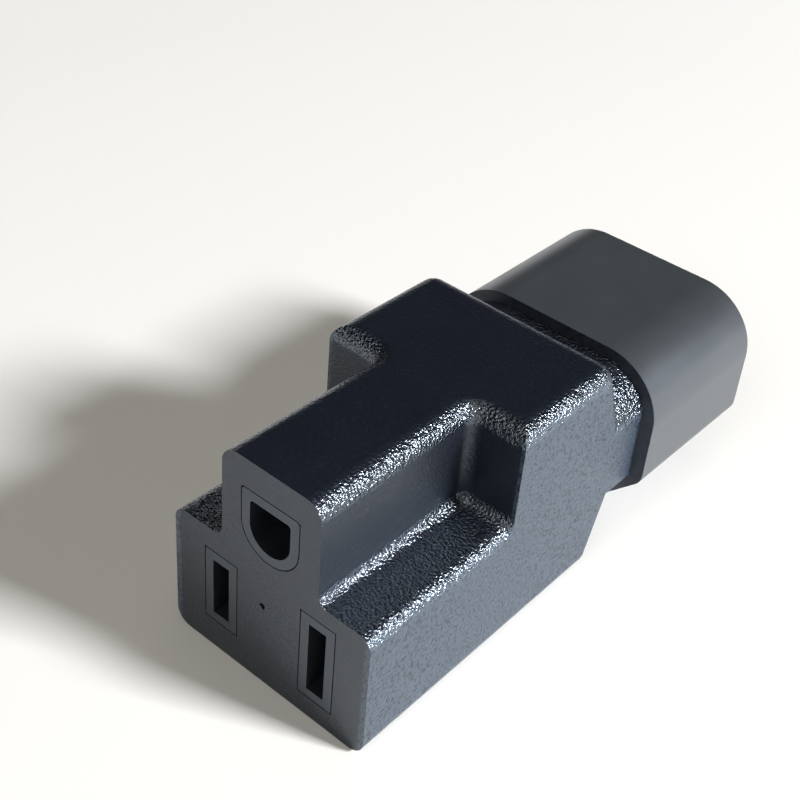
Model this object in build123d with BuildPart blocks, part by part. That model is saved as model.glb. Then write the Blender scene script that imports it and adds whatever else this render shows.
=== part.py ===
from build123d import *
import math
import os

os.makedirs("parts", exist_ok=True)

# Adapter between two mains connectors: a grounded three-hole socket at the front and a
# three-pin inlet at the back. X runs across, Y from the socket face to the inlet rim, Z up.
# The origin lies on the flat underside, midway along the length. Sizes are in millimetres.

# Outer body, moulded soft over everything inside
length = 63.0
body_width = 25.4
body_height = 26.9
side_draft = 0.7
ledge_height = 15.45
ridge_width = 12.4
ridge_length = 20.7
upper_neck_length = 7.4
upper_back_lean = 22.0
lower_neck_length = 6.9
lower_back_lean = 18.5
top_round = 2.0
ledge_round = 1.5
base_round = 1.8
base_back_round = 1.0
inner_round = 1.3

# Inlet shroud
shroud_depth = 19.8
shroud_width = 27.35
shroud_height = 20.15
shroud_bottom = 2.75
shroud_chamfer = 5.8
shroud_corner = 7.0
chamfer_round = 2.0
shroud_wall = 1.5
rim_chamfer = 0.4
cavity_depth = 15.0
neck_inset = 1.3

# Inlet pins, on the shroud's middle line
pin_spacing = 14.0
pin_offset = 2.0
pin_height = 4.0
pin_thickness = 2.0
live_tip_recess = 4.4
earth_tip_recess = 1.6
pin_tail = 9.6
pin_tip_bevel = 0.6
carrier_shank_depth = 5.6
carrier_shank_inset = 2.2

# Socket holes, measured from the middle of the two slots
slots_below_middle = 5.55
slot_spacing = 12.7
slot_width = 2.16
line_slot_low = -3.2
line_slot_high = 3.8
neutral_slot_low = -4.2
neutral_slot_high = 4.4
ground_height = 11.9
ground_radius = 2.55
ground_flat = 2.65
ground_corner = 0.4
socket_frame = 1.05
seam_width = 0.12
seam_depth = 1.4
gate_mark_x = -0.75
gate_mark_height = 10.25
gate_mark_radius = 0.35
gate_mark_depth = 0.5

# Socket core behind the face
face_wall = 3.0
side_wall = 2.2
base_wall = 1.3
ledge_wall = 1.1
ridge_wall = 1.6
top_wall = 1.5
core_front_wall = 0.9
chamber_width = 4.4
chamber_margin = 0.3
ground_chamber_width = 7.0
ground_chamber_height = 7.0
cover_thickness = 1.6
cover_to_pins = 10.5
strap_slit_clearance = 0.1

# Sheet metal contacts, the straps behind them and the rivets that join them
contact_thickness = 0.5
contact_height = 6.0
contact_bend = 0.5
contact_front_clearance = 1.0
contact_flare_length = 2.2
contact_wall_run = 4.5
blade_mouth_gap = 1.9
blade_pinch_gap = 0.9
ground_mouth_gap = 4.8
ground_pinch_gap = 3.6
strap_thickness = 0.8
strap_width = 3.6
strap_flange = 3.2
strap_bend = 3.0
strap_front_run = 2.5
strap_back_run = 4.1
strap_end_gap = 0.4
rivet_radius = 0.55
rivet_head_radius = 0.95
rivet_head = 0.5
rivet_clearance = 0.2

face_y = -length / 2
rim_y = length / 2
ledge_step_y = face_y + ridge_length
shroud_y = rim_y - shroud_depth
floor_y = rim_y - cavity_depth
tail_y = shroud_y - pin_tail
core_y = face_y + face_wall
chamber_y = core_y + core_front_wall
cover_back_y = tail_y - cover_to_pins
core_back_y = cover_back_y - cover_thickness
slot_x = slot_spacing / 2
pin_x = pin_spacing / 2
slot_height = body_height / 2 - slots_below_middle
ground_z = slot_height + ground_height
shroud_middle = shroud_bottom + shroud_height / 2
live_pin_z = shroud_middle + pin_offset
earth_pin_z = shroud_middle - pin_offset


def cross_section(y):
    """Plane across the adapter at y, with its own x to the right and its own y up."""
    return Plane.XZ.offset(-y)


def inlet_outline(y, inset=0.0, bevel_round=chamfer_round):
    """Outline of the inlet: large round corners above, two bevelled corners below."""
    half = shroud_width / 2
    top = shroud_bottom + shroud_height
    with BuildSketch(cross_section(y)) as outline:
        with BuildLine():
            Polyline(
                (-half, top),
                (-half, shroud_bottom + shroud_chamfer),
                (-half + shroud_chamfer, shroud_bottom),
                (half - shroud_chamfer, shroud_bottom),
                (half, shroud_bottom + shroud_chamfer),
                (half, top),
                close=True,
            )
        make_face()
        if inset:
            offset(amount=-inset)
        fillet(outline.vertices().group_by(Axis.Y)[-1], shroud_corner - inset)
        if bevel_round:
            fillet(outline.vertices().group_by(Axis.Y)[:2], bevel_round)
    return outline.sketch


def drafted_plan(width, front_y, back_y, z):
    """Plan of a block whose sides draw in towards the back."""
    front = width / 2 - (front_y - face_y) * math.tan(math.radians(side_draft))
    back = width / 2 - (back_y - face_y) * math.tan(math.radians(side_draft))
    with BuildSketch(Plane.XY.offset(z)) as plan:
        with BuildLine():
            Polyline((-front, front_y), (front, front_y), (back, back_y), (-back, back_y), close=True)
        make_face()
    return plan.sketch


# The two back faces lean towards each other and meet on the neck
upper_back_y = shroud_y - upper_neck_length
lower_back_y = shroud_y - lower_neck_length
upper_slope = math.tan(math.radians(upper_back_lean))
lower_slope = math.tan(math.radians(lower_back_lean))
back_edge_z = (upper_back_y - lower_back_y + body_height * upper_slope) / (upper_slope + lower_slope)
back_edge_y = lower_back_y + back_edge_z * lower_slope
three_quarters_out = (3 * body_width + ridge_width) / 8


def outer_side(edge):
    """Chooses edges on the two outer sides, beyond three quarters of the way across a ledge."""
    return abs(edge.center().X) > three_quarters_out


def level(z):
    """Chooses edges whose middle is at height z."""
    return lambda edge: abs(edge.center().Z - z) < 0.01


def depth(y):
    """Chooses edges whose middle is at y."""
    return lambda edge: abs(edge.center().Y - y) < 0.01


def corner_of_ledge(edge):
    """Inner edges where the ledge meets the ridge and the middle block."""
    middle = edge.center()
    above_ledge = ledge_height - 0.01 < middle.Z < body_height - 0.1
    before_step = face_y + 0.1 < middle.Y < ledge_step_y + 0.01
    return above_ledge and before_step and not outer_side(edge)


def top_edge(edge):
    """Edges of the top, apart from the one at the face."""
    return level(body_height)(edge) and edge.center().Y > face_y + 0.1


def back_side_edge(edge):
    """Leaning side edges of the upper back face, which start at the top."""
    starts = [abs(v.Z - body_height) + abs(v.Y - upper_back_y) < 0.01 for v in edge.vertices()]
    return any(starts) and edge.center().Z < body_height - 0.1


with BuildPart() as body_form:
    with BuildSketch(Plane.YZ):
        with BuildLine():
            Polyline(
                (face_y, 0),
                (lower_back_y, 0),
                (back_edge_y, back_edge_z),
                (upper_back_y, body_height),
                (ledge_step_y, body_height),
                (ledge_step_y, ledge_height),
                (face_y, ledge_height),
                close=True,
            )
        make_face()
    extrude(amount=body_width, both=True)
    extrude(inlet_outline(upper_back_y, neck_inset, None), amount=upper_back_y - shroud_y)
    extrude(drafted_plan(body_width, face_y, shroud_y, 0), amount=body_height, mode=Mode.INTERSECT)
    extrude(drafted_plan(ridge_width, face_y, ledge_step_y, 0), amount=body_height)
    # The ledges' outer edges come first, so that their rounding stops at the middle block
    fillet(body_form.edges().filter_by(level(ledge_height)).filter_by(outer_side), ledge_round)
    fillet(body_form.edges().filter_by(corner_of_ledge), inner_round)
    fillet(body_form.edges().filter_by(lambda e: top_edge(e) or back_side_edge(e)), top_round)
    fillet(body_form.edges().filter_by(level(0)).filter_by(outer_side), base_round)
    fillet(body_form.edges().filter_by(level(0)).filter_by(depth(lower_back_y)), base_back_round)


def slot_outline(y, x, low, high, grow=0.0):
    """Blade slot, or the frame round it when it is grown."""
    width = slot_width + 2 * grow
    height = high - low + 2 * grow
    middle = slot_height + (low + high) / 2
    with BuildSketch(cross_section(y)) as outline:
        with Locations((x, middle)):
            Rectangle(width, height)
    return outline.sketch


def ground_outline(y, grow=0.0):
    """Ground hole: round below and flat above, or the frame round it when it is grown."""
    radius = ground_radius + grow
    flat = ground_flat + grow
    with BuildSketch(cross_section(y)) as outline:
        with BuildLine():
            ThreePointArc((-radius, ground_z), (0, ground_z - radius), (radius, ground_z))
            Polyline(
                (radius, ground_z),
                (radius, ground_z + flat),
                (-radius, ground_z + flat),
                (-radius, ground_z),
            )
        make_face()
        fillet(outline.vertices().group_by(Axis.Y)[-1], ground_corner)
    return outline.sketch


def socket_outlines(y, grow=0.0):
    """The three holes of the socket, or their frames."""
    return [
        slot_outline(y, -slot_x, line_slot_low, line_slot_high, grow),
        slot_outline(y, slot_x, neutral_slot_low, neutral_slot_high, grow),
        ground_outline(y, grow),
    ]


def core_outline(y):
    """Outline shared by the socket core and its cover: a block and a ridge, inside the walls."""
    with BuildSketch(cross_section(y)) as outline:
        with Locations((0, base_wall)):
            block_height = ledge_height - ledge_wall - base_wall
            ridge_height = body_height - top_wall - base_wall
            bottom = (Align.CENTER, Align.MIN)
            Rectangle(body_width - 2 * side_wall, block_height, align=bottom)
            Rectangle(ridge_width - 2 * ridge_wall, ridge_height, align=bottom)
    return outline.sketch


def chamber_outline(y, x, low, high):
    """Rectangular chamber behind a slot."""
    middle = slot_height + (low + high) / 2
    with BuildSketch(cross_section(y)) as outline:
        with Locations((x, middle)):
            Rectangle(chamber_width, high - low + 2 * chamber_margin)
    return outline.sketch


# Envelope of the core: the block and the three towers that reach the face
with BuildPart() as core_blank:
    extrude(core_outline(core_y), amount=core_y - core_back_y)
    for outline in socket_outlines(face_y, socket_frame):
        extrude(outline, amount=-face_wall)

with BuildPart() as socket_core:
    add(core_blank.part)
    for outline in socket_outlines(face_y):
        extrude(outline, amount=face_y - chamber_y, mode=Mode.SUBTRACT)
    chamber_depth = core_back_y - chamber_y
    line_chamber = chamber_outline(chamber_y, -slot_x, line_slot_low, line_slot_high)
    neutral_chamber = chamber_outline(chamber_y, slot_x, neutral_slot_low, neutral_slot_high)
    extrude(line_chamber, amount=-chamber_depth, mode=Mode.SUBTRACT)
    extrude(neutral_chamber, amount=-chamber_depth, mode=Mode.SUBTRACT)
    with BuildSketch(cross_section(chamber_y)):
        with Locations((0, ground_z)):
            Rectangle(ground_chamber_width, ground_chamber_height)
    extrude(amount=-chamber_depth, mode=Mode.SUBTRACT)
socket_core.part.label = "socket_core"

# Each joint at the back of a chamber is a contact base, a strap flange and a rivet through both
rivet_back_y = core_back_y - rivet_clearance
flange_back_y = rivet_back_y - rivet_head
flange_front_y = flange_back_y - strap_thickness
base_front_y = flange_front_y - contact_thickness
pin_rivet_y = tail_y + strap_width / 2


def spring_contact(name, x, rivet_x, z, outer_width, mouth_gap, pinch_gap):
    """Bent strip: two arms lie on the chamber's walls, pinch the blade and flare at the mouth."""
    metal = contact_thickness / 2
    wall = outer_width / 2 - metal
    pinch = pinch_gap / 2 + metal
    mouth = mouth_gap / 2 + metal
    mouth_y = chamber_y + contact_front_clearance
    pinch_y = mouth_y + contact_flare_length
    base_y = base_front_y + metal
    wall_y = base_y - contact_wall_run
    arm = [(mouth, mouth_y), (pinch, pinch_y), (wall, wall_y), (wall, base_y)]
    other_arm = [(-across, along) for across, along in reversed(arm)]
    with BuildPart() as contact:
        with BuildSketch(Plane.XY.offset(z - contact_height / 2)):
            with BuildLine(Plane((x, 0, 0))):
                FilletPolyline(*arm, *other_arm, radius=contact_bend)
            trace(line_width=contact_thickness)
        extrude(amount=contact_height)
        with BuildSketch(cross_section(base_front_y)):
            with Locations((rivet_x, z)):
                Circle(rivet_radius)
        extrude(amount=-contact_thickness, mode=Mode.SUBTRACT)
    contact.part.label = name
    return contact


def strap(name, x, contact_z, pin_side_x, pin_z):
    """Flat link: a flange on the contact's base, then a web that runs to the side of the pin."""
    web_x = pin_side_x - strap_thickness
    flange_middle = web_x + strap_flange / 2 if x > web_x else pin_side_x - strap_flange / 2
    end_y = tail_y + strap_back_run - strap_end_gap
    with BuildPart() as link:
        with BuildSketch(Plane.YZ.offset(web_x)):
            with BuildLine():
                FilletPolyline(
                    (flange_front_y, contact_z),
                    (cover_back_y + strap_front_run, contact_z),
                    (tail_y - strap_front_run, pin_z),
                    (end_y, pin_z),
                    radius=strap_bend,
                )
            trace(line_width=strap_width)
        extrude(amount=strap_thickness)
        with BuildSketch(cross_section(flange_front_y)):
            with Locations((flange_middle, contact_z)):
                Rectangle(strap_flange, strap_width)
        extrude(amount=-strap_thickness)
        with BuildSketch(cross_section(flange_front_y)):
            with Locations((x, contact_z)):
                Circle(rivet_radius)
        extrude(amount=-strap_thickness, mode=Mode.SUBTRACT)
        with BuildSketch(Plane.YZ.offset(web_x)):
            with Locations((pin_rivet_y, pin_z)):
                Circle(rivet_radius)
        extrude(amount=strap_thickness, mode=Mode.SUBTRACT)
    link.part.label = name
    return link


def inlet_pin(name, x, z, tip_recess):
    """Flat blade with a bevelled tip and a rivet hole through its tail."""
    tip_y = rim_y - tip_recess
    with BuildPart() as pin:
        with BuildSketch(cross_section(tail_y)):
            with Locations((x, z)):
                Rectangle(pin_thickness, pin_height)
        extrude(amount=tail_y - tip_y)
        chamfer(pin.edges().filter_by(depth(tip_y)), pin_tip_bevel)
        with BuildSketch(Plane.YZ.offset(x - pin_thickness / 2)):
            with Locations((pin_rivet_y, z)):
                Circle(rivet_radius)
        extrude(amount=pin_thickness, mode=Mode.SUBTRACT)
    pin.part.label = name
    return pin


def rivet(start, grip):
    """Rivet along the plane's normal: a shank peened flush at its start and a head at its end."""
    with BuildPart() as fastener:
        with BuildSketch(start):
            Circle(rivet_radius)
        extrude(amount=grip)
        with BuildSketch(start.offset(grip)):
            Circle(rivet_head_radius)
        extrude(amount=rivet_head)
    return fastener.part


line_z = slot_height + (line_slot_low + line_slot_high) / 2
neutral_z = slot_height + (neutral_slot_low + neutral_slot_high) / 2
half_pin = pin_thickness / 2

line_contact = spring_contact(
    "line_contact", -slot_x, -pin_x, line_z, chamber_width, blade_mouth_gap, blade_pinch_gap
)
neutral_contact = spring_contact(
    "neutral_contact", slot_x, pin_x, neutral_z, chamber_width, blade_mouth_gap, blade_pinch_gap
)
ground_contact = spring_contact(
    "ground_contact", 0, 0, ground_z, ground_chamber_width, ground_mouth_gap, ground_pinch_gap
)

# The straps lie on the inner sides of the outer pins and on the right side of the earth pin
line_side = -pin_x + half_pin + strap_thickness
neutral_side = pin_x - half_pin
earth_side = half_pin + strap_thickness
line_strap = strap("line_strap", -pin_x, line_z, line_side, live_pin_z)
neutral_strap = strap("neutral_strap", pin_x, neutral_z, neutral_side, live_pin_z)
earth_strap = strap("earth_strap", 0, ground_z, earth_side, earth_pin_z)

line_pin = inlet_pin("line_pin", -pin_x, live_pin_z, live_tip_recess)
neutral_pin = inlet_pin("neutral_pin", pin_x, live_pin_z, live_tip_recess)
earth_pin = inlet_pin("earth_pin", 0, earth_pin_z, earth_tip_recess)

contact_rivet_grip = contact_thickness + strap_thickness
pin_rivet_grip = pin_thickness + strap_thickness
contact_rivets = Compound(
    label="contact_rivets",
    children=[
        rivet(Plane((x, base_front_y, z), x_dir=(1, 0, 0), z_dir=(0, 1, 0)), contact_rivet_grip)
        for x, z in ((-pin_x, line_z), (pin_x, neutral_z), (0, ground_z))
    ],
)
pin_rivets = Compound(
    label="pin_rivets",
    children=[
        rivet(Plane((x, pin_rivet_y, z), x_dir=(0, 1, 0), z_dir=(towards, 0, 0)), pin_rivet_grip)
        for x, towards, z in (
            (-pin_x - half_pin, 1, live_pin_z),
            (pin_x + half_pin, -1, live_pin_z),
            (-half_pin, 1, earth_pin_z),
        )
    ],
)

# Plate that closes the chambers, slit where the straps pass
with BuildPart() as core_cover:
    extrude(core_outline(core_back_y), amount=-cover_thickness)
    for web_side, z in ((line_side, line_z), (neutral_side, neutral_z), (earth_side, ground_z)):
        with BuildSketch(cross_section(core_back_y)):
            with Locations((web_side - strap_thickness / 2, z)):
                Rectangle(strap_thickness + 2 * strap_slit_clearance, strap_width + 2 * strap_slit_clearance)
        extrude(amount=-cover_thickness, mode=Mode.SUBTRACT)
core_cover.part.label = "core_cover"

# Floor of the inlet: a slab across the cavity and a smaller shank sunk in the body
carrier_envelope_y = shroud_y - carrier_shank_depth
with BuildPart() as pin_carrier:
    extrude(inlet_outline(shroud_y, shroud_wall), amount=shroud_y - floor_y)
    extrude(
        inlet_outline(carrier_envelope_y, shroud_wall + carrier_shank_inset, None),
        amount=-carrier_shank_depth,
    )
    for x, z in ((-pin_x, live_pin_z), (pin_x, live_pin_z), (0, earth_pin_z)):
        with BuildSketch(cross_section(carrier_envelope_y)):
            with Locations((x, z)):
                Rectangle(pin_thickness, pin_height)
        extrude(amount=carrier_envelope_y - floor_y, mode=Mode.SUBTRACT)
pin_carrier.part.label = "pin_carrier"

# Shroud: a wall of even thickness round the pins, with the edges of its rim bevelled
with BuildPart() as inlet_shroud:
    extrude(inlet_outline(shroud_y), amount=-shroud_depth)
    extrude(inlet_outline(shroud_y, shroud_wall), amount=-shroud_depth, mode=Mode.SUBTRACT)
    chamfer(inlet_shroud.faces().sort_by(Axis.Y)[-1].edges(), rim_chamfer)
inlet_shroud.part.label = "inlet_shroud"

# Outer body: the form, moulded round the pieces inside
with BuildPart() as outer_body:
    add(body_form.part)
    add(core_blank.part, mode=Mode.SUBTRACT)
    extrude(core_outline(core_back_y), amount=-cover_thickness, mode=Mode.SUBTRACT)
    for outline in socket_outlines(face_y, socket_frame + seam_width):
        extrude(outline, amount=-seam_depth, mode=Mode.SUBTRACT)
    for piece in (line_strap, neutral_strap, earth_strap, line_pin, neutral_pin, earth_pin):
        add(piece.part, mode=Mode.SUBTRACT)
    add(pin_rivets, mode=Mode.SUBTRACT)
    add(pin_carrier.part, mode=Mode.SUBTRACT)
    with BuildSketch(cross_section(face_y)):
        with Locations((gate_mark_x, gate_mark_height)):
            Circle(gate_mark_radius)
    extrude(amount=-gate_mark_depth, mode=Mode.SUBTRACT)
outer_body.part.label = "outer_body"

for piece in (
    outer_body,
    inlet_shroud,
    pin_carrier,
    socket_core,
    core_cover,
    line_pin,
    neutral_pin,
    earth_pin,
    line_contact,
    neutral_contact,
    ground_contact,
    line_strap,
    neutral_strap,
    earth_strap,
):
    export_step(piece.part, f"parts/{piece.part.label}.step")
export_step(contact_rivets, "parts/contact_rivets.step")
export_step(pin_rivets, "parts/pin_rivets.step")
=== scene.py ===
import math

import bmesh
import bpy
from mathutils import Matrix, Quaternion, Vector

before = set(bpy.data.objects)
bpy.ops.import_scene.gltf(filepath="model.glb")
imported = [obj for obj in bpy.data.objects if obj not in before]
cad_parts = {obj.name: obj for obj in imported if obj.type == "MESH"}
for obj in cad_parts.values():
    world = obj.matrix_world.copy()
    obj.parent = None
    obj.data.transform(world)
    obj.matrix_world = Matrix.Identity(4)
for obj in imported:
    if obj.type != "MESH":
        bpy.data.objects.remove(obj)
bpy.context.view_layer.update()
scene = bpy.context.scene
scene.view_settings.view_transform = "Standard"

# Camera. A close view from the front right and above. The roll is small, and the shift is
# there because the middle of the picture isn't quite the middle of the lens.
MM = 0.001
CAMERA_PLACE = Vector((66.84, -100.14, 109.10)) * MM
CAMERA_AIM = Vector((-15.59, 3.33, 10.0)) * MM
CAMERA_ROLL = math.radians(-4.87)
CAMERA_LENS = 65.1
CAMERA_SENSOR = 36
CAMERA_SHIFT = (0.0140, -0.0182)
CAMERA_NEAR = 10 * MM

camera = bpy.data.objects.new("camera", bpy.data.cameras.new("camera"))
scene.collection.objects.link(camera)
camera_line = (CAMERA_AIM - CAMERA_PLACE).normalized()
camera_turn = Quaternion(camera_line, CAMERA_ROLL) @ camera_line.to_track_quat("-Z", "Y")
camera.location = CAMERA_PLACE
camera.rotation_euler = camera_turn.to_euler()
camera.data.lens = CAMERA_LENS
camera.data.sensor_width = CAMERA_SENSOR
camera.data.shift_x, camera.data.shift_y = CAMERA_SHIFT
camera.data.clip_start = CAMERA_NEAR
scene.camera = camera

# Outer body. One soft PVC moulding over everything inside, nearly black. The coarse grain of its mould
# breaks the light into sparkles on ledges and rounded edges, and is calmer on the upright walls and the
# top. The two wide sides carry a painted sheen, paler and bluer, speckled with painted shade in pits.
BODY_COLOUR = (0.0016, 0.0030, 0.0085)
BODY_PALE_COLOUR = (0.0028, 0.0045, 0.0115)
BODY_CLOUD_SIZE = 9.0 * MM
BODY_CLOUD_LEVELS = (0.35, 0.65)
# Painted shade in the pits, and a painted sheen on the two wide sides.
BODY_PIT_SHADE_COLOUR = (0.003, 0.007, 0.018)
BODY_SIDE_SHEEN_COLOUR = (0.047, 0.067, 0.096)
BODY_SPECK_SIZE = 0.32 * MM
BODY_SPECK_LEVELS = (0.39, 0.47)
BODY_SIDE_START = (11.95 * MM, 12.10 * MM)
BODY_SHEEN_TINT = (0.76, 0.87, 1.0)
BODY_ROUGHNESS = (0.20, 0.25)
BODY_WALL_ROUGHNESS = 0.40
BODY_IOR = 1.80
BODY_WALL_IOR = 1.50
BODY_GRAIN_SIZE = 0.31 * MM
BODY_GRAIN_DEPTH = 0.23 * MM
BODY_GRAIN_MIDDLE = 0.5
BODY_WALL_GRAIN = 0.3
BODY_WALL_TURN = (0.17, 0.045)
BODY_TOP_START = (26.70 * MM, 26.88 * MM)


class Socket:
    """A node socket. Arithmetic on it adds Math nodes, and add() makes any other node."""

    def __init__(self, tree, socket=None):
        self.tree = tree
        self.socket = socket

    def add(self, kind, settings=None, inputs=None, output=0):
        """Makes a node: its settings come first, and then the values or links of its sockets."""
        node = self.tree.nodes.new(f"ShaderNode{kind}")
        for name, value in (settings or {}).items():
            if name == "stops":
                ramp = node.color_ramp
                for place, level in value[1:-1]:
                    ramp.elements.new(place)
                for stop, (place, level) in zip(ramp.elements, value):
                    stop.position = place
                    stop.color = (*level, 1) if isinstance(level, tuple) else (level, level, level, 1)
            else:
                setattr(node, name, value)
        for name, value in (inputs or {}).items():
            if isinstance(value, Socket):
                self.tree.links.new(value.socket, node.inputs[name])
            else:
                node.inputs[name].default_value = value
        return Socket(self.tree, node.outputs[output] if len(node.outputs) else None)

    def maths(self, operation, first, second):
        return self.add("Math", {"operation": operation}, {0: first, 1: second})

    def absolute(self):
        return self.add("Math", {"operation": "ABSOLUTE"}, {0: self})

    def along(self, axis):
        return self.add("SeparateXYZ", inputs={0: self}, output=axis)

    def __add__(self, other):
        return self.maths("ADD", self, other)

    def __radd__(self, other):
        return self.maths("ADD", other, self)

    def __sub__(self, other):
        return self.maths("SUBTRACT", self, other)

    def __rsub__(self, other):
        return self.maths("SUBTRACT", other, self)

    def __mul__(self, other):
        return self.maths("MULTIPLY", self, other)

    def __rmul__(self, other):
        return self.maths("MULTIPLY", other, self)


def new_finish(name):
    """An empty node material, with the socket of the place on the object."""
    finish = bpy.data.materials.new(name)
    finish.use_nodes = True
    finish.node_tree.nodes.clear()
    return finish, Socket(finish.node_tree).add("TexCoord", output="Object")


def dress(finish, surface, *names):
    """Ends a finish with its surface, and gives it to the named CAD nodes."""
    surface.add("OutputMaterial", inputs={"Surface": surface})
    for name in names:
        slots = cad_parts[name].data.materials
        slots.clear()
        slots.append(finish)


def noise(place, size, detail):
    """Soft random spots of about the given size."""
    return place.add("TexNoise", inputs={"Vector": place, "Scale": 1 / size, "Detail": detail})


def span(value, ends):
    """Goes from 0 to 1 as the value goes from the first end to the second."""
    return value.add("MapRange", inputs={"Value": value, "From Min": ends[0], "From Max": ends[1]})


def shades(value, levels, first, second):
    """Goes from one colour to the other as the value goes from the first level to the second."""
    return value.add("ValToRGB", {"stops": ((levels[0], first), (levels[1], second))}, {0: value})


def blend(factor, first, second):
    """The first colour where the factor is 0, and the second where it is 1."""
    inputs = {"Factor": factor, "A": first, "B": second}
    return factor.add("Mix", {"data_type": "RGBA"}, inputs, output="Result")


def between(ends, factor):
    """The first number where the factor is 0, and the second where it is 1."""
    return ends[0] + (ends[1] - ends[0]) * factor


def bumps(height, depth):
    """The normal of a surface with relief of the given depth."""
    return height.add("Bump", inputs={"Height": height, "Distance": depth, "Strength": 1.0})


def plastic(colour, roughness, ior, tint, normal):
    """A plastic surface with a full, tinted sheen."""
    return normal.add(
        "BsdfPrincipled",
        inputs={
            "Base Color": colour,
            "Roughness": roughness,
            "IOR": ior,
            "Specular IOR Level": 1.0,
            "Specular Tint": (*tint, 1),
            "Normal": normal,
        },
    )


body_finish, place = new_finish("body_grained_pvc")
cloud = noise(place, BODY_CLOUD_SIZE, detail=2.0)
clean = shades(cloud, BODY_CLOUD_LEVELS, BODY_COLOUR, BODY_PALE_COLOUR)
# Painted sheen: the two wide sides get a paler, bluer colour, speckled with painted shade in pits.
specks = noise(place, BODY_SPECK_SIZE, detail=1.0)
painted_side_sheen = shades(specks, BODY_SPECK_LEVELS, BODY_PIT_SHADE_COLOUR, BODY_SIDE_SHEEN_COLOUR)
on_side = span(place.along("X").absolute(), BODY_SIDE_START)
colour = blend(on_side, clean, painted_side_sheen)
top = span(place.along("Z"), BODY_TOP_START)
wall = span(place.add("TexCoord", output="Normal").along("Z").absolute(), BODY_WALL_TURN)
calm = top.maths("MAXIMUM", top, wall)
grain = noise(place, BODY_GRAIN_SIZE, detail=1.5)
relief = (grain - BODY_GRAIN_MIDDLE) * (1 - (1 - BODY_WALL_GRAIN) * calm)
normal = bumps(relief, BODY_GRAIN_DEPTH)
rounded = plastic(colour, between(BODY_ROUGHNESS, cloud), BODY_IOR, BODY_SHEEN_TINT, normal)
upright = plastic(colour, BODY_WALL_ROUGHNESS, BODY_WALL_IOR, BODY_SHEEN_TINT, normal)
surface = calm.add("MixShader", inputs={0: calm, 1: rounded, 2: upright})
dress(body_finish, surface, "outer_body")

# Inlet shroud. A separate moulding in harder, satin plastic, greyer than the body and almost
# without grain. The body is moulded onto it, and a thin dark line of painted shade runs round its front
# end, where the two meet.
SHROUD_COLOUR = (0.046, 0.054, 0.060)
SHROUD_PALE_COLOUR = (0.051, 0.059, 0.065)
SHROUD_CLOUD_SIZE = 6.0 * MM
SHROUD_CLOUD_LEVELS = (0.35, 0.65)
SHROUD_SHEEN_TINT = (0.80, 0.86, 1.0)
SHROUD_ROUGHNESS = (0.29, 0.34)
SHROUD_IOR = 1.66
SHROUD_GRAIN_SIZE = 0.16 * MM
SHROUD_GRAIN_DEPTH = 0.008 * MM
# Painted shade at the shroud's front end, where it meets the body.
SHROUD_JOINT_SHADE_COLOUR = (0.003, 0.004, 0.008)
SHROUD_JOINT_SHADE_EDGE = (11.74 * MM, 11.86 * MM)
SHROUD_JOINT_SHADE_WANDER = 0.12 * MM
SHROUD_JOINT_SHADE_SIZE = 0.9 * MM

shroud_finish, place = new_finish("shroud_satin_plastic")
cloud = noise(place, SHROUD_CLOUD_SIZE, detail=3.0)
clean = shades(cloud, SHROUD_CLOUD_LEVELS, SHROUD_COLOUR, SHROUD_PALE_COLOUR)
# Painted shade: the shroud's front end, where it meets the body, is painted dark.
wander = noise(place, SHROUD_JOINT_SHADE_SIZE, detail=2.0)
off_joint_shade = span(place.along("Y") + SHROUD_JOINT_SHADE_WANDER * wander, SHROUD_JOINT_SHADE_EDGE)
colour = blend(off_joint_shade, (*SHROUD_JOINT_SHADE_COLOUR, 1), clean)
normal = bumps(noise(place, SHROUD_GRAIN_SIZE, detail=1.0), SHROUD_GRAIN_DEPTH)
surface = plastic(colour, between(SHROUD_ROUGHNESS, cloud), SHROUD_IOR, SHROUD_SHEEN_TINT, normal)
dress(shroud_finish, surface, "inlet_shroud")

# Socket core, its back cover and the carrier of the pins. Hard plastic mouldings that the body
# closes round, smooth and a little paler than the body, so the frames of the holes stand out.
CORE_COLOUR = (0.004, 0.0055, 0.008)
CORE_PALE_COLOUR = (0.006, 0.0075, 0.011)
CORE_CLOUD_SIZE = 4.0 * MM
CORE_CLOUD_LEVELS = (0.35, 0.65)
CORE_SHEEN_TINT = (0.72, 0.85, 1.0)
CORE_ROUGHNESS = (0.42, 0.50)
CORE_IOR = 1.58
CORE_GRAIN_SIZE = 0.22 * MM
CORE_GRAIN_DEPTH = 0.006 * MM

core_finish, place = new_finish("core_hard_plastic")
cloud = noise(place, CORE_CLOUD_SIZE, detail=3.0)
colour = shades(cloud, CORE_CLOUD_LEVELS, CORE_COLOUR, CORE_PALE_COLOUR)
normal = bumps(noise(place, CORE_GRAIN_SIZE, detail=1.0), CORE_GRAIN_DEPTH)
surface = plastic(colour, between(CORE_ROUGHNESS, cloud), CORE_IOR, CORE_SHEEN_TINT, normal)
dress(core_finish, surface, "socket_core", "core_cover", "pin_carrier")

# Inlet pins. Brass blades with a bright nickel plating, drawn lengthwise, so that fine lines run
# along them.
PIN_COLOUR = (0.74, 0.72, 0.68)
PIN_DULL_COLOUR = (0.60, 0.58, 0.54)
PIN_ROUGHNESS = (0.34, 0.20)
PIN_LINE_SIZE = 0.12 * MM
PIN_LINE_STRETCH = 0.05
PIN_LINE_LEVELS = (0.35, 0.60)
PIN_LINE_DEPTH = 0.003 * MM


def metal(colour, roughness, normal):
    """A bare metal surface."""
    inputs = {"Base Color": colour, "Metallic": 1.0, "Roughness": roughness, "Normal": normal}
    return normal.add("BsdfPrincipled", inputs=inputs)


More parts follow.
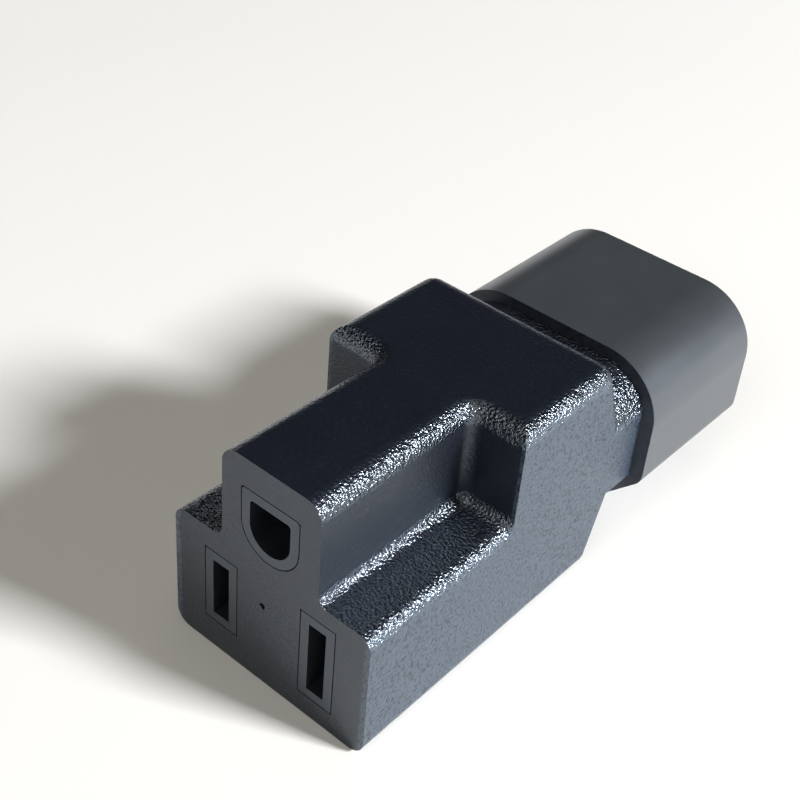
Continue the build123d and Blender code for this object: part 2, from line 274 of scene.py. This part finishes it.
pin_finish, place = new_finish("pin_nickel_plating")
drawn = place.add("Mapping", inputs={"Vector": place, "Scale": (1, PIN_LINE_STRETCH, 1)})
lines = noise(drawn, PIN_LINE_SIZE, detail=2.0)
colour = shades(lines, PIN_LINE_LEVELS, PIN_DULL_COLOUR, PIN_COLOUR)
surface = metal(colour, between(PIN_ROUGHNESS, lines), bumps(lines, PIN_LINE_DEPTH))
dress(pin_finish, surface, "line_pin", "neutral_pin", "earth_pin")

# Contacts, straps and rivets. Sheet brass, cut and bent, and solid brass rivets, left bare
# inside the body, with the slight brown of brass that has been handled.
BRASS_COLOUR = (0.66, 0.47, 0.19)
BRASS_DULL_COLOUR = (0.42, 0.27, 0.11)
BRASS_ROUGHNESS = (0.42, 0.26)
BRASS_STAIN_SIZE = 2.2 * MM
BRASS_STAIN_LEVELS = (0.38, 0.62)
BRASS_ROLL_SIZE = 0.10 * MM
BRASS_ROLL_DEPTH = 0.004 * MM
CONTACTS = ("line_contact", "neutral_contact", "ground_contact")
STRAPS = ("line_strap", "neutral_strap", "earth_strap")
RIVETS = ("contact_rivets", "pin_rivets")

brass_finish, place = new_finish("contact_sheet_brass")
stain = noise(place, BRASS_STAIN_SIZE, detail=4.0)
colour = shades(stain, BRASS_STAIN_LEVELS, BRASS_DULL_COLOUR, BRASS_COLOUR)
normal = bumps(noise(place, BRASS_ROLL_SIZE, detail=1.0), BRASS_ROLL_DEPTH)
surface = metal(colour, between(BRASS_ROUGHNESS, stain), normal)
dress(brass_finish, surface, *CONTACTS, *STRAPS, *RIVETS)

# Floor. A plain white table, so wide that its end is out of sight. Further out than the object's
# shadow reaches, the camera and all mirrored rays see it turn into the white that is behind it.
FLOOR_REACH = 3.0
FLOOR_COLOUR = (0.91, 0.907, 0.895)
FLOOR_ROUGHNESS = 0.9
FLOOR_SHEEN = 0.1
FLOOR_FADE = (0.14, 0.36)
WHITE = (1, 1, 1, 1)


def camera_rays(start):
    """1 for the rays that reach the surroundings straight from the camera."""
    return start.add("LightPath", output="Is Camera Ray")


def mirrored_rays(start):
    """1 for the rays that reach the surroundings off a shiny surface or through a clear one."""
    glossy = start.add("LightPath", output="Is Glossy Ray")
    through = start.add("LightPath", output="Is Transmission Ray")
    return start.maths("MAXIMUM", glossy, through)


floor_mesh = bpy.data.meshes.new("floor")
floor_form = bmesh.new()
bmesh.ops.create_grid(floor_form, x_segments=1, y_segments=1, size=FLOOR_REACH)
floor_form.to_mesh(floor_mesh)
floor_form.free()
floor = bpy.data.objects.new("floor", floor_mesh)
scene.collection.objects.link(floor)
floor_paint, place = new_finish("floor_paint")
paint = place.add(
    "BsdfPrincipled",
    inputs={
        "Base Color": (*FLOOR_COLOUR, 1),
        "Roughness": FLOOR_ROUGHNESS,
        "Specular IOR Level": FLOOR_SHEEN,
    },
)
away = place.add("VectorMath", {"operation": "LENGTH"}, {0: place}, output="Value")
seen = place.maths("MAXIMUM", camera_rays(place), mirrored_rays(place))
glow = place.add("Emission", inputs={"Color": WHITE, "Strength": 1.0})
surface = place.add("MixShader", inputs={0: span(away, FLOOR_FADE) * seen, 1: paint, 2: glow})
surface.add("OutputMaterial", inputs={"Surface": surface})
floor_mesh.materials.append(floor_paint)

# Light. A bright low window on the right, which throws the long soft shadow and lights up the
# grain, a warm lamp in front and one above, and a room that is dim above its pale low walls. Behind
# the table the camera sees plain white, and shiny surfaces mirror that white below the dim room.
LIGHT_AIM = Vector((0, 0, 12)) * MM
WINDOW_COLOUR = (1.0, 1.0, 1.0)
LAMP_COLOUR = (1.0, 0.96, 0.86)
ROOM_LEVELS = ((0.0, 0.25), (0.10, 0.20), (0.24, 0.024), (1.0, 0.020))
MIRRORED_LEVELS = ((0.0, 1.0), (0.05, 1.0), (0.15, 0.014), (1.0, 0.012))


def softbox(name, direction, distance, size, power, colour):
    """A square area light that faces the middle of the object."""
    light = bpy.data.lights.new(name, "AREA")
    light.size = size
    light.energy = power
    light.color = colour
    lamp = bpy.data.objects.new(name, light)
    scene.collection.objects.link(lamp)
    lamp.location = LIGHT_AIM + Vector(direction).normalized() * distance
    lamp.rotation_euler = (LIGHT_AIM - lamp.location).to_track_quat("-Z", "Y").to_euler()


softbox("window", (0.81, 0.28, 0.515), distance=1.6, size=0.32, power=41.0, colour=WINDOW_COLOUR)
softbox("front_fill", (0.15, -0.72, 0.68), distance=0.9, size=0.5, power=2.2, colour=LAMP_COLOUR)
softbox("ceiling", (0.0, 0.0, 1.0), distance=0.9, size=0.6, power=0.95, colour=LAMP_COLOUR)

world = bpy.data.worlds.new("world")
scene.world = world
world.use_nodes = True
world.node_tree.nodes.clear()
up = Socket(world.node_tree).add("TexCoord", output="Generated").along("Z")
room = up.add("ValToRGB", {"stops": ROOM_LEVELS}, {0: up})
mirrored = up.add("ValToRGB", {"stops": MIRRORED_LEVELS}, {0: up})
around = blend(mirrored_rays(up), room, mirrored)
shown = blend(camera_rays(up), around, WHITE)
background = up.add("Background", inputs={"Color": shown, "Strength": 1.0})
background.add("OutputWorld", inputs={"Surface": background})
